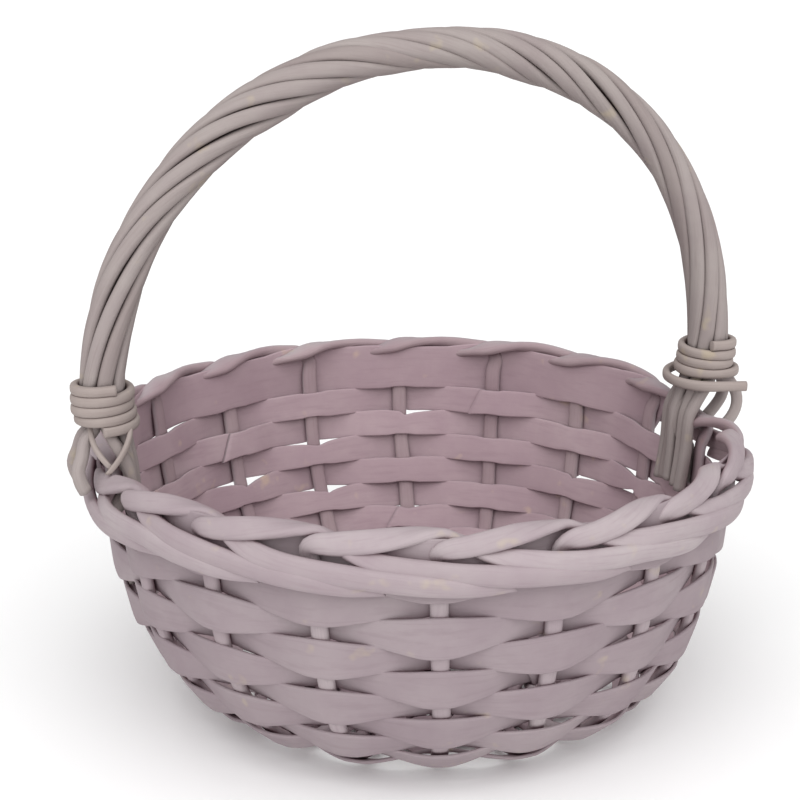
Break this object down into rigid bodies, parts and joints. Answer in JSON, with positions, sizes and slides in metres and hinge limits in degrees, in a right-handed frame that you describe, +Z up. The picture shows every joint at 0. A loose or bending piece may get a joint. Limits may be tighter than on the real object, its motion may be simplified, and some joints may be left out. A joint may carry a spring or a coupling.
{
  "type": "knitting basket",
  "caption": "Round open willow basket with a woven bowl, a rolled border and a fixed twisted hoop handle, painted all over, for yarn and knitting.",
  "frame": {"origin": "on the floor under the middle of the base", "axes": "+Z up, +X along the handle from its left end to its right end, +Y to the back"},
  "size_m": [0.291, 0.2793, 0.2813],
  "materials": {
    "stakes": "peeled willow under matt chalky paint",
    "split_willow": "split willow under matt chalky paint",
    "base_sticks": "peeled willow under matt chalky paint",
    "base_weavers": "peeled willow under matt chalky paint",
    "handle_bow": "peeled willow under matt chalky paint",
    "handle_rods": "peeled willow under matt chalky paint, rubbed",
    "collar_bindings": "thin peeled willow under matt chalky paint"
  },
  "bodies": {
    "root": {"stake_01": "stakes", "stake_02": "stakes", "stake_03": "stakes", "stake_04": "stakes", "stake_05": "stakes", "stake_06": "stakes", "stake_07": "stakes", "stake_08": "stakes", "stake_09": "stakes", "stake_10": "stakes", "stake_11": "stakes", "stake_12": "stakes", "stake_13": "stakes", "stake_14": "stakes", "stake_15": "stakes", "stake_16": "stakes", "stake_17": "stakes", "stake_18": "stakes", "wall_strip_1": "split_willow", "wall_strip_2": "split_willow", "wall_strip_3": "split_willow", "wall_strip_4": "split_willow", "wall_strip_5": "split_willow", "wall_strip_6": "split_willow", "wall_strip_7": "split_willow", "wall_strip_8": "split_willow", "wall_strip_9": "split_willow", "top_strip_back": "split_willow", "top_strip_front": "split_willow", "base_stick_1": "base_sticks", "base_stick_2": "base_sticks", "base_stick_3": "base_sticks", "base_stick_4": "base_sticks", "base_stick_5": "base_sticks", "base_stick_6": "base_sticks", "base_stick_7": "base_sticks", "base_stick_8": "base_sticks", "base_stick_9": "base_sticks", "base_weaver_1": "base_weavers", "base_weaver_2": "base_weavers", "handle_bow": "handle_bow", "handle_rod_1": "handle_rods", "handle_rod_2": "handle_rods", "handle_rod_3": "handle_rods", "handle_rod_4": "handle_rods", "handle_rod_5": "handle_rods", "handle_rod_6": "handle_rods", "handle_rod_7": "handle_rods", "collar_binding_left": "collar_bindings", "collar_binding_right": "collar_bindings"}
  },
  "joints": []
}
